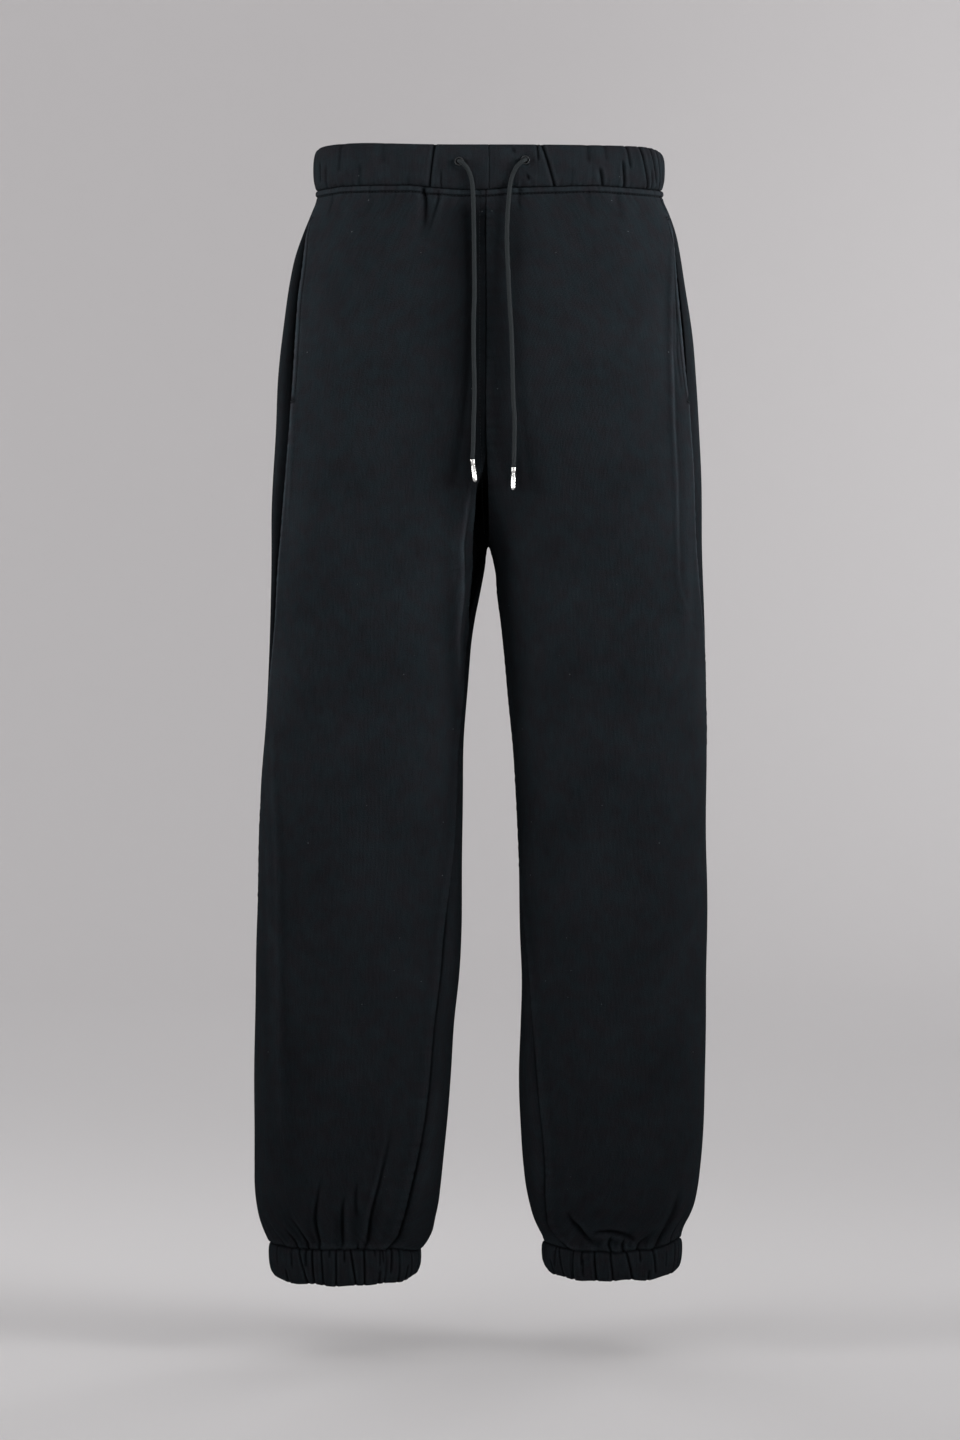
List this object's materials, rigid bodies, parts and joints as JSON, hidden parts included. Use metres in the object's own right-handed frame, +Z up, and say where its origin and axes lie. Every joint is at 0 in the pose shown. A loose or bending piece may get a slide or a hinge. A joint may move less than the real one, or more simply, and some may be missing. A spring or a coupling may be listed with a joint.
{
  "type": "jogger sweatpants",
  "caption": "Loose fleece jogger sweatpants with an elastic drawcord waist, side pockets and gathered ankle cuffs, kept in the hollow shape of a worn pair.",
  "frame": {"origin": "the middle of the waistband ring, half way up the band, where the wearer's waist holds the garment", "axes": "+Z up, -Y to the garment's front, +X to the wearer's left"},
  "size_m": [0.4156, 0.2684, 1.0453],
  "materials": {
    "fleece": "matte brushed cotton fleece, charcoal to black with a slight blue-green cast",
    "pocketing": "matte plain knit",
    "cording": "round matte braid, dark grey",
    "eyelet": "gunmetal, satin",
    "tip": "polished silver-coloured metal"
  },
  "bodies": {
    "root": {"front_right": "fleece", "front_left": "fleece", "back_right": "fleece", "back_left": "fleece", "waistband_right": "fleece", "waistband_left": "fleece", "cuff_right": "fleece", "cuff_left": "fleece", "pocket_right": "pocketing", "pocket_left": "pocketing", "eyelet_right": "eyelet", "eyelet_left": "eyelet", "drawcord_right": "cording", "drawcord_left": "cording", "cord_tip_right": "tip", "cord_tip_left": "tip"}
  },
  "joints": []
}
